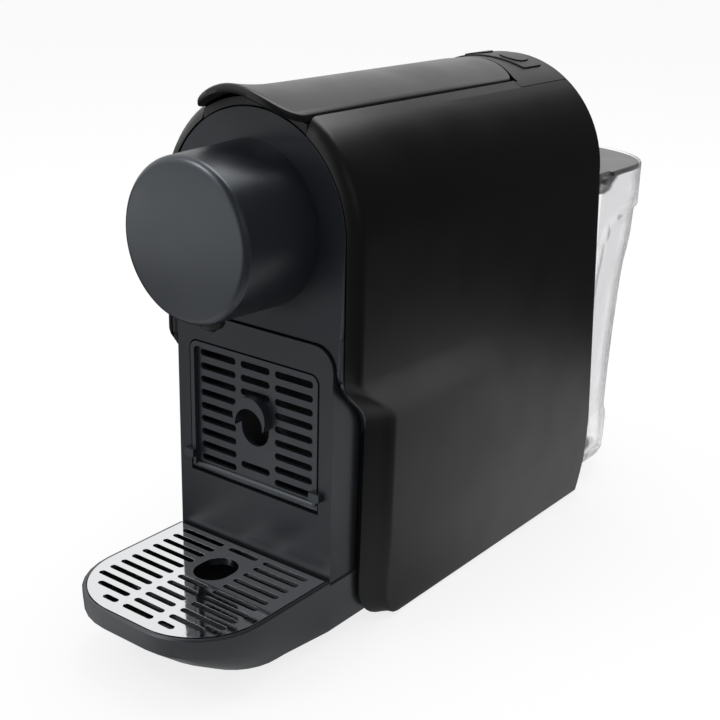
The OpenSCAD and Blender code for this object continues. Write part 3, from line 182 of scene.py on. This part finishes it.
def makeClearTank():
    t = clearTank
    mat = plainFinish("clear tank", t["tint"], 0.0)
    shader = shaderOf(mat)
    shader.inputs["Transmission Weight"].default_value = 1
    shader.inputs["IOR"].default_value = t["ior"]
    shader.inputs["Alpha"].default_value = t["alpha"]
    varyRoughness(mat, noise(mat, t["cloud"], t["detail"]), 0.0, t["haze"])
    return mat


finishOf = {
    "black_shell": mouldedPlastic("satin black shell", (0.003, 0.003, 0.0032), 0.33, 2600, 0.08,
                                  dust=0.02),
    "dark_front": mouldedPlastic("blue-black front", (0.0092, 0.0104, 0.0128), 0.36, 2600, 0.12),
    "matt_black": mouldedPlastic("matt black", (0.0085, 0.0085, 0.0092), 0.44, 2200, 0.16),
    "button_grey": mouldedPlastic("key black", (0.012, 0.012, 0.0125), 0.40, 2400, 0.12),
    "chassis_black": mouldedPlastic("chassis black", (0.022, 0.022, 0.024), 0.5, 1500, 0.3),
    "dock_black": mouldedPlastic("dock black", (0.02, 0.02, 0.021), 0.46, 1500, 0.25),
    "rubber_black": mouldedPlastic("rubber", (0.013, 0.013, 0.013), 0.75, 1800, 0.4),
    "natural_plastic": mouldedPlastic("natural plastic", (0.58, 0.57, 0.52), 0.42, 1500, 0.15),
    "seal_red": mouldedPlastic("seal red", (0.3, 0.05, 0.03), 0.5, 1200, 0.1),
    "hose_clear": mouldedPlastic("milky hose", (0.6, 0.62, 0.62), 0.35, 900, 0.05),
    "board_green": mouldedPlastic("board green", (0.015, 0.1, 0.045), 0.35, 700, 0.2),
    "pump_body": mouldedPlastic("pump body", (0.5, 0.47, 0.4), 0.45, 900, 0.1),
    "smoke_lid": mouldedPlastic("smoke lid", (0.045, 0.046, 0.048), 0.30, 2000, 0.06),
    "steel_grate": metalFinish("grate steel", (0.86, 0.87, 0.88), 0.04, (1, 0.1, 0.1), 0.14),
    "steel_bright": metalFinish("bright steel", (0.6, 0.6, 0.6), 0.28),
    "yoke_grey": metalFinish("yoke grey", (0.3, 0.31, 0.32), 0.4),
    "heater_alloy": metalFinish("heater alloy", (0.5, 0.5, 0.51), 0.42),
    "clear_tank": makeClearTank(),
}

# some pieces have a finish of their own within their slot
# painted light: the drum's face is given a lighter colour than its side, which takes the bezel's
# darker black
litDrumFaceBlack = mouldedPlastic("drum black", (0.0105, 0.0127, 0.0170), 0.32, 2600, 0.12)
bezelBlackAndDrumSideShade = mouldedPlastic("bezel black", (0.0080, 0.0096, 0.0125), 0.35, 2600, 0.10)
restBlack = mouldedPlastic("rest black", (0.0105, 0.0122, 0.0152), 0.34, 2600, 0.12)
trayBlack = mouldedPlastic("tray black", (0.0125, 0.0137, 0.0160), 0.34, 2400, 0.14)
# the bin's own finish, also used as painted shade in the panel's pocket behind the cup rest
binBlackAndPocketShade = mouldedPlastic("bin black", (0.004, 0.004, 0.0045), 0.62, 1800, 0.2)
ownFinish = {
    "head_drum": litDrumFaceBlack, "front_bezel": bezelBlackAndDrumSideShade, "cup_rest": restBlack,
    "drip_tray": trayBlack, "capsule_bin": binBlackAndPocketShade, "inner_chassis": binBlackAndPocketShade,
}
coolTint = (0.88, 0.94, 1.0, 1)
frontGloss = [(litDrumFaceBlack, 1.0), (bezelBlackAndDrumSideShade, 0.5), (restBlack, 0.85), (trayBlack, 1.0),
              (finishOf["dark_front"], 0.62)]
for mat, gloss in frontGloss:
    shaderOf(mat).inputs["Specular IOR Level"].default_value = gloss
    shaderOf(mat).inputs["Specular Tint"].default_value = coolTint
binGloss = 0.2
shaderOf(binBlackAndPocketShade).inputs["Specular IOR Level"].default_value = binGloss


def dress(obj, nodeName):
    obj.data.materials.clear()
    obj.data.materials.append(ownFinish.get(nodeName, finishOf[slotOf[nodeName]]))


for nodeName, obj in nodes.items():
    dress(obj, nodeName)
print("finishes on", len(nodes), "nodes")


# hand tools

facing = 0.9  # a face looks along an axis when its normal has more than this of it


def onlySelect(obj):
    bpy.ops.object.select_all(action="DESELECT")
    obj.select_set(True)
    bpy.context.view_layer.objects.active = obj


def pickFaces(obj, test):
    # leaves the object in edit mode with the chosen faces selected
    bpy.ops.object.mode_set(mode="EDIT")
    bpy.ops.mesh.select_mode(type="FACE")
    bpy.ops.mesh.select_all(action="DESELECT")
    bpy.ops.object.mode_set(mode="OBJECT")
    for face in obj.data.polygons:
        face.select = test(face)
    bpy.ops.object.mode_set(mode="EDIT")


def pickAll(obj):
    pickFaces(obj, lambda face: True)


def pushOut(move):
    bpy.ops.mesh.extrude_region_move(TRANSFORM_OT_translate={"value": move})


def applyPlacing():
    bpy.ops.object.transform_apply(location=True, rotation=True, scale=True)


def smoothBelow(angle):
    bpy.ops.object.shade_smooth_by_angle(angle=math.radians(angle))


def softenEdges(obj, width, angle):
    soft = obj.modifiers.new("soft edges", "BEVEL")
    soft.width = width
    soft.segments = 2
    soft.limit_method = "ANGLE"
    soft.angle_limit = math.radians(angle)
    bpy.ops.object.modifier_apply(modifier="soft edges")


def paintFaces(obj, mat, test):
    obj.data.materials.append(mat)
    for face in obj.data.polygons:
        if test(face):
            face.material_index = 1


def settle(obj, name, nodeName, angle, standsFor=True):
    # closed, smooth, named, placed on its body and dressed
    bpy.ops.object.mode_set(mode="EDIT")
    bpy.ops.mesh.select_all(action="SELECT")
    bpy.ops.mesh.remove_doubles(threshold=madeMerge)
    bpy.ops.mesh.normals_make_consistent(inside=False)
    bpy.ops.object.mode_set(mode="OBJECT")
    onlySelect(obj)
    applyPlacing()
    smoothBelow(angle)
    obj.name = obj.data.name = name
    dress(obj, nodeName)
    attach(obj, bodyOf[nodeName])
    if standsFor:
        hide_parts(nodeName)


# brew head drum: turned from a disc, drawn in to the front, domed, hollow from behind

headDrum = {
    "rootRadius": 0.0377, "frontRadius": 0.0362, "reach": 0.0439, "edgeRound": 0.0034,
    "edgeSteps": 9, "wall": 0.0026, "faceWall": 0.0065, "root": panelPlane + 0.0013,
    "crown": 0.0013, "crownShares": (0.38, 0.29, 0.21, 0.12), "crownStep": 0.007,
    "flatFront": 0.999, "sideStart": 0.25, "sides": 160, "smooth": 30,
}


def makeHeadDrum():
    d = headDrum
    front = d["root"] - d["reach"]
    bpy.ops.object.select_all(action="DESELECT")
    bpy.ops.mesh.primitive_cylinder_add(
        vertices=d["sides"], radius=d["rootRadius"], depth=d["reach"],
        location=(0, (d["root"] + front) / 2, headHeight), rotation=(math.pi / 2, 0, 0))
    drum = bpy.context.active_object
    applyPlacing()
    pickFaces(drum, lambda f: f.normal.y < -facing)
    k = d["frontRadius"] / d["rootRadius"]
    bpy.ops.transform.resize(value=(k, 1, k), center_override=(0, front, headHeight))
    bpy.ops.mesh.bevel(offset=d["edgeRound"], segments=d["edgeSteps"], affect="EDGES")
    pickFaces(drum, lambda f: f.normal.y < -d["flatFront"])
    for share in d["crownShares"]:
        bpy.ops.mesh.inset(thickness=d["crownStep"], depth=d["crown"] * share)
    pickFaces(drum, lambda f: f.normal.y > facing)
    bpy.ops.mesh.inset(thickness=d["wall"])
    pushOut((0, d["faceWall"] - d["reach"], 0))
    settle(drum, "drum", "head_drum", d["smooth"])
    # the side is less glossy than the face, and darker: the face's lighter colour and the side's
    # darker one are painted light and shade on one plastic
    paintFaces(drum, bezelBlackAndDrumSideShade, lambda f: f.normal.y > -d["sideStart"])


makeHeadDrum()
print("head drum turned")


# coffee spout: a stub drawn down in steps to its outlet

coffeeSpout = {
    "y": panelPlane - 0.0257, "top": 0.1624, "radius": 0.0058,
    # radius and height of each step
    "steps": [(0.0058, 0.1554), (0.0050, 0.1540), (0.0034, 0.1531), (0.0022, 0.1527),
              (0.0016, 0.1518)],
    "bore": 0.0007, "boreDepth": 0.0025, "sides": 72, "smooth": 30,
}


def makeCoffeeSpout():
    s = coffeeSpout
    bpy.ops.object.select_all(action="DESELECT")
    bpy.ops.mesh.primitive_circle_add(vertices=s["sides"], radius=s["radius"], fill_type="NGON",
                                      location=(0, s["y"], s["top"]))
    spout = bpy.context.active_object
    applyPlacing()
    pickAll(spout)
    radius, z = s["radius"], s["top"]
    for nextRadius, nextZ in s["steps"]:
        pushOut((0, 0, nextZ - z))
        k = nextRadius / radius
        bpy.ops.transform.resize(value=(k, k, 1), center_override=(0, s["y"], nextZ))
        radius, z = nextRadius, nextZ
    bpy.ops.mesh.inset(thickness=s["bore"])
    pushOut((0, 0, s["boreDepth"]))
    settle(spout, "spout", "coffee_spout", s["smooth"])


makeCoffeeSpout()
print("spout drawn")


# pieces made finer from their nodes: merged, softened along their edges, smoothed

softEdges = {
    # edge width, 0 for smoothing alone, and the angle from which an edge counts
    "side_cover_right": (0, 30), "side_cover_left": (0, 30), "lever_cover": (0, 35),
    "water_tank": (0, 40), "drip_tray": (0, 35), "front_bezel": (0.0004, 30),
    "front_panel": (0.0005, 30), "control_panel": (0.0005, 30), "button_surround": (0.0005, 30),
    "espresso_button": (0.0005, 30), "lungo_button": (0.0005, 30), "cup_rest": (0.00035, 30),
    "drip_grate": (0.0004, 30), "tank_lid": (0.0006, 30), "top_deck": (0.0003, 30),
    "rear_cover": (0.0004, 30), "base_plate": (0.0003, 30),
}
flatAngle = 0.6  # faces that meet below this are one flat face
smoothBeyond = 5  # smoothing reaches this far past the edge angle
flatWeight = 90


def finerPiece(nodeName, edge, angle):
    onlySelect(nodes[nodeName])
    bpy.ops.object.duplicate()
    obj = bpy.context.active_object
    for key in [k for k in obj.keys() if k.startswith("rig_")]:
        del obj[key]
    obj.parent = None
    obj.name = obj.data.name = nodeName + "_fine"
    bpy.ops.mesh.customdata_custom_splitnormals_clear()
    bpy.ops.object.mode_set(mode="EDIT")
    bpy.ops.mesh.select_all(action="SELECT")
    bpy.ops.mesh.remove_doubles(threshold=nodeMerge)
    if edge:
        bpy.ops.mesh.dissolve_limited(angle_limit=math.radians(flatAngle), delimit=set())
    bpy.ops.object.mode_set(mode="OBJECT")
    if edge:
        softenEdges(obj, edge, angle)
    smoothBelow(angle + smoothBeyond)
    if edge:
        # the large flat faces keep their own direction beside the rounded edges
        even = obj.modifiers.new("even normals", "WEIGHTED_NORMAL")
        even.keep_sharp = True
        even.weight = flatWeight
        bpy.ops.object.modifier_apply(modifier="even normals")
    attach(obj, bodyOf[nodeName])
    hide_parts(nodeName)
    return obj


finer = {nodeName: finerPiece(nodeName, edge, angle)
         for nodeName, (edge, angle) in softEdges.items()}
print("finer pieces:", len(finer))


# side covers: the narrow step beside the panel seam closes, so the shading runs on over it

seamStep = {"above": 0.2415, "inner": 0.0343, "outer": 0.0345, "out": 0.0002, "down": 0.00014,
            "merge": 0.00002, "sliver": 0.00001, "smooth": 35}


def joinSeamStep(obj, side):
    s = seamStep
    onlySelect(obj)
    bpy.ops.object.mode_set(mode="EDIT")
    bpy.ops.mesh.select_mode(type="VERT")
    bpy.ops.mesh.select_all(action="DESELECT")
    bpy.ops.object.mode_set(mode="OBJECT")
    for vertex in obj.data.vertices:
        inStep = s["inner"] < side * vertex.co.x < s["outer"]
        vertex.select = vertex.co.z > s["above"] and inStep
    bpy.ops.object.mode_set(mode="EDIT")
    bpy.ops.transform.translate(value=(side * s["out"], 0, -s["down"]))
    bpy.ops.mesh.select_all(action="SELECT")
    bpy.ops.mesh.remove_doubles(threshold=s["merge"])
    bpy.ops.mesh.dissolve_degenerate(threshold=s["sliver"])
    bpy.ops.object.mode_set(mode="OBJECT")
    smoothBelow(s["smooth"])


joinSeamStep(finer["side_cover_right"], 1)
joinSeamStep(finer["side_cover_left"], -1)


# front panel: the pocket behind the cup rest is painted with the bin's flat black, as painted
# shade in the recess

restPocketShade = {"behind": panelPlane + 0.0045, "halfWidth": 0.043, "forward": 0.3}


def inShadedPocket(face):
    p = restPocketShade
    inside = face.center.y > p["behind"] and abs(face.center.x) < p["halfWidth"]
    return inside and face.normal.y < -p["forward"]


# painted shade: the panel's own faces in the recess behind the cup rest get the bin's darker,
# flatter black
paintFaces(finer["front_panel"], binBlackAndPocketShade, inShadedPocket)
print("seams and pocket done")


# cover rim: the narrow edge that follows the step from the bezel down into the cover's lip

coverRim = {
    # from the top: height, inner x, outer x, distance behind the front panel, all in mm
    "stations": [
        (152, 50.0, 52.2, 1.1), (140, 50.0, 52.4, 1.1), (134, 50.0, 52.5, 1.2),
        (130, 50.0, 52.5, 2.0), (127, 49.9, 52.4, 3.6), (124, 49.8, 52.2, 5.9),
        (121, 49.7, 52.0, 9.0), (118, 49.5, 51.8, 12.4), (115, 49.4, 51.6, 15.2),
        (112, 49.2, 51.4, 17.3), (109, 49.1, 51.3, 18.6), (105, 49.0, 51.2, 19.3),
        (98, 49.0, 51.1, 19.5)],
    "depth": 2.2, "edgeRound": 0.0003, "edgeAngle": 50, "smooth": 40,
}
bezelCut = 0.132  # the rim takes over from the bezel's lower tips here


def makeCoverRim(name, side):
    r = coverRim
    z, inner, outer, front = r["stations"][0]
    middle = side * (inner + outer) / 2 * mm
    bpy.ops.object.select_all(action="DESELECT")
    bpy.ops.mesh.primitive_plane_add(
        size=1, location=(middle, panelPlane + (front + r["depth"] / 2) * mm, z * mm))
    rim = bpy.context.active_object
    rim.scale = ((outer - inner) * mm, r["depth"] * mm, 1)
    applyPlacing()
    pickAll(rim)
    for nextZ, nextInner, nextOuter, nextFront in r["stations"][1:]:
        shift = side * (nextInner + nextOuter - inner - outer) / 2
        pushOut((shift * mm, (nextFront - front) * mm, (nextZ - z) * mm))
        z, inner, outer, front = nextZ, nextInner, nextOuter, nextFront
    settle(rim, name, "front_bezel", r["smooth"], standsFor=False)
    softenEdges(rim, r["edgeRound"], r["edgeAngle"])
    smoothBelow(r["smooth"])


def trimBezelTips():
    bezel = finer["front_bezel"]
    onlySelect(bezel)
    pickAll(bezel)
    bpy.ops.mesh.bisect(plane_co=(0, 0, bezelCut), plane_no=(0, 0, 1), use_fill=True,
                        clear_inner=True)
    bpy.ops.object.mode_set(mode="OBJECT")


makeCoverRim("cover_rim_left", -1)
makeCoverRim("cover_rim_right", 1)
trimBezelTips()
print("cover rims laid")


# floor, sky, lamps, camera

studio = {
    "floorSize": 30, "floorColour": (0.9, 0.9, 0.9), "floorRoughness": 0.6, "floorGloss": 0.2,
    "shadowShare": 0.2, "whiteStrength": 1.0,
    # bright places that the floor shows to glossy rays: centre, near, far, strength
    "floorShine": [
        ((-1.0, -1.35, 0), 0.85, 1.15, 1.0), ((-0.17, -0.35, 0), 0.06, 0.22, 0.5),
        ((-0.07, -0.25, 0), 0.03, 0.10, 0.45), ((0.155, 0.13, 0), 0.10, 0.29, 0.62),
        ((0.08, -0.22, 0), 0.05, 0.20, 0.35)],
    "floorDim": 0.01,
    # the sky is plain for light, and for glossy rays bright to the left, dark to the right
    "skyLight": 0.85, "skyShine": (0.9, 0.05), "skyTurn": (-0.17, 0.16),
}
lampAim = (0, 0, 0.13)
lampPlan = {
    "key": {"place": (-0.5, -0.9, 1.1), "size": 0.5, "power": 3.5},
    "top": {"place": (0.0, 0.5, 1.6), "size": 1.1, "power": 10},
    "right": {"place": (1.4, -0.9, 0.9), "size": 1.1, "power": 0.6},
}
cameraPlan = {
    "centre": (0.3747, -0.52165, 0.3328), "azimuth": 37.17, "elevation": 19.82, "roll": 1.41,
    "lens": 64.52, "sensor": 36,
}


def feed(tree, source, socket):
    # source is a number or another node's output
    if isinstance(source, (int, float)):
        socket.default_value = source
    else:
        tree.links.new(source, socket)


def glow(tree, strength):
    node = tree.nodes.new("ShaderNodeEmission")
    feed(tree, strength, node.inputs["Strength"])
    return node.outputs["Emission"]


def combine(tree, operation, first, second):
    node = tree.nodes.new("ShaderNodeMath")
    node.operation = operation
    feed(tree, first, node.inputs[0])
    feed(tree, second, node.inputs[1])
    return node.outputs["Value"]


def smoothStep(tree, source, start, end, low, high):
    node = tree.nodes.new("ShaderNodeMapRange")
    node.interpolation_type = "SMOOTHSTEP"
    node.inputs["From Min"].default_value = start
    node.inputs["From Max"].default_value = end
    node.inputs["To Min"].default_value = low
    node.inputs["To Max"].default_value = high
    tree.links.new(source, node.inputs["Value"])
    return node.outputs["Result"]


def mixByRay(tree, rays, first, second, share=1.0):
    # second is seen by the named kinds of ray, first by all others
    lightPath = tree.nodes.new("ShaderNodeLightPath")
    factor = lightPath.outputs[rays[0]]
    for ray in rays[1:]:
        factor = combine(tree, "MAXIMUM", factor, lightPath.outputs[ray])
    if share < 1:
        factor = combine(tree, "MULTIPLY", factor, share)
    mixed = tree.nodes.new("ShaderNodeMixShader")
    tree.links.new(factor, mixed.inputs["Fac"])
    tree.links.new(first, mixed.inputs[1])
    tree.links.new(second, mixed.inputs[2])
    return mixed.outputs["Shader"]


def addFloor():
    s = studio
    bpy.ops.object.select_all(action="DESELECT")
    bpy.ops.mesh.primitive_plane_add(size=s["floorSize"], location=(0, 0, 0))
    floor = bpy.context.active_object
    floor.name = "floor"
    mat = plainFinish("pale floor", s["floorColour"], s["floorRoughness"], 0, s["floorGloss"])
    tree = mat.node_tree
    coords = tree.nodes.new("ShaderNodeTexCoord")
    total = None
    for centre, near, far, strength in s["floorShine"]:
        distance = tree.nodes.new("ShaderNodeVectorMath")
        distance.operation = "DISTANCE"
        distance.inputs[1].default_value = centre
        tree.links.new(coords.outputs["Object"], distance.inputs[0])
        fall = smoothStep(tree, distance.outputs["Value"], near, far, strength, s["floorDim"])
        total = combine(tree, "ADD", total, fall) if total else fall
    lit = shaderOf(mat).outputs["BSDF"]
    lit = mixByRay(tree, ["Is Glossy Ray"], lit, glow(tree, total))
    lit = mixByRay(tree, ["Is Transmission Ray"], lit, glow(tree, s["whiteStrength"]))
    lit = mixByRay(tree, ["Is Camera Ray"], lit, glow(tree, s["whiteStrength"]),
                   1 - s["shadowShare"])
    tree.links.new(lit, tree.nodes["Material Output"].inputs["Surface"])
    floor.data.materials.append(mat)


def skyGlow(tree, strength, node=None):
    node = node or tree.nodes.new("ShaderNodeBackground")
    node.inputs["Color"].default_value = white
    feed(tree, strength, node.inputs["Strength"])
    return node.outputs["Background"]


def addWorld():
    s = studio
    world = bpy.data.worlds.new("studio")
    scene.world = world
    world.use_nodes = True
    tree = world.node_tree
    coords = tree.nodes.new("ShaderNodeTexCoord")
    split = tree.nodes.new("ShaderNodeSeparateXYZ")
    tree.links.new(coords.outputs["Generated"], split.inputs["Vector"])
    turn = smoothStep(tree, split.outputs["X"], *s["skyTurn"], *s["skyShine"])
    lit = skyGlow(tree, s["skyLight"], tree.nodes["Background"])
    lit = mixByRay(tree, ["Is Glossy Ray"], lit, skyGlow(tree, turn))
    lit = mixByRay(tree, ["Is Camera Ray", "Is Transmission Ray"], lit,
                   skyGlow(tree, s["whiteStrength"]))
    tree.links.new(lit, tree.nodes["World Output"].inputs["Surface"])


def addLamp(name, plan):
    bpy.ops.object.select_all(action="DESELECT")
    bpy.ops.object.light_add(type="AREA", location=plan["place"])
    lamp = bpy.context.active_object
    lamp.name = name
    lamp.data.shape = "DISK"
    lamp.data.size = plan["size"]
    lamp.data.energy = plan["power"]
    lamp.rotation_mode = "QUATERNION"
    aim = Vector(lampAim) - Vector(plan["place"])
    lamp.rotation_quaternion = aim.to_track_quat("-Z", "Y")


def addCamera():
    plan = cameraPlan
    azimuth, elevation = math.radians(plan["azimuth"]), math.radians(plan["elevation"])
    back = Vector((math.sin(azimuth) * math.cos(elevation),
                   -math.cos(azimuth) * math.cos(elevation), math.sin(elevation)))
    right = (-back).cross(Vector((0, 0, 1))).normalized()
    up = right.cross(-back)
    c, s = math.cos(math.radians(plan["roll"])), math.sin(math.radians(plan["roll"]))
    data = bpy.data.cameras.new("camera")
    data.lens = plan["lens"]
    data.sensor_width = plan["sensor"]
    camera = bpy.data.objects.new("camera", data)
    scene.collection.objects.link(camera)
    turn = Matrix((c * right + s * up, c * up - s * right, back)).transposed().to_4x4()
    camera.matrix_world = Matrix.Translation(Vector(plan["centre"])) @ turn
    scene.camera = camera


addFloor()
addWorld()
for name, plan in lampPlan.items():
    addLamp(name, plan)
addCamera()
print("stage set with", len(lampPlan), "lamps")

scene.view_settings.view_transform = "Standard"
